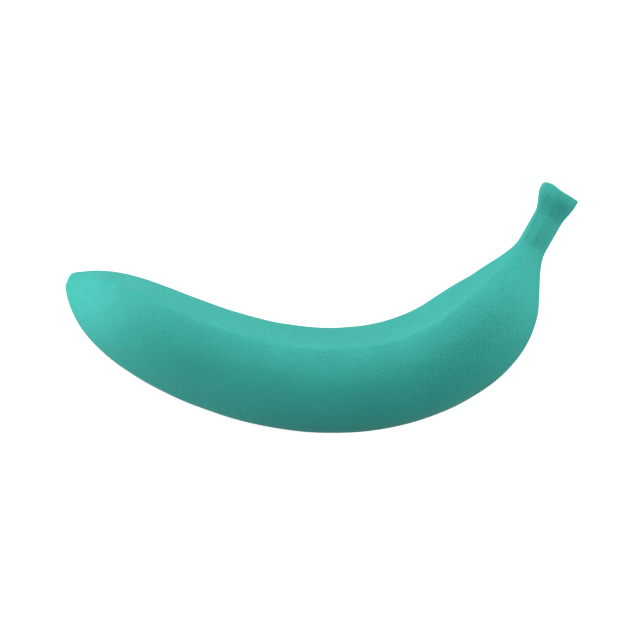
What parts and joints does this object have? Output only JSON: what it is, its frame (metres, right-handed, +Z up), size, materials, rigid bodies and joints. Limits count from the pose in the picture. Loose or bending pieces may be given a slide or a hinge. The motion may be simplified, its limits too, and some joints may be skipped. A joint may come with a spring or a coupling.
{
  "type": "banana",
  "caption": "Curved banana lying on its side with its stem and blossom end, one soft ridge along the hollow side, matte turquoise skin.",
  "frame": {"origin": "middle of the bounding box in X and Y, on the surface that the banana lies on", "axes": "+X from the blossom end towards the stem, the longest extent; +Y towards the hollow side of the bend; +Z up"},
  "size_m": [0.1852, 0.0902, 0.036],
  "materials": {
    "skin": "matte"
  },
  "bodies": {
    "root": {"banana": "skin"}
  },
  "joints": []
}
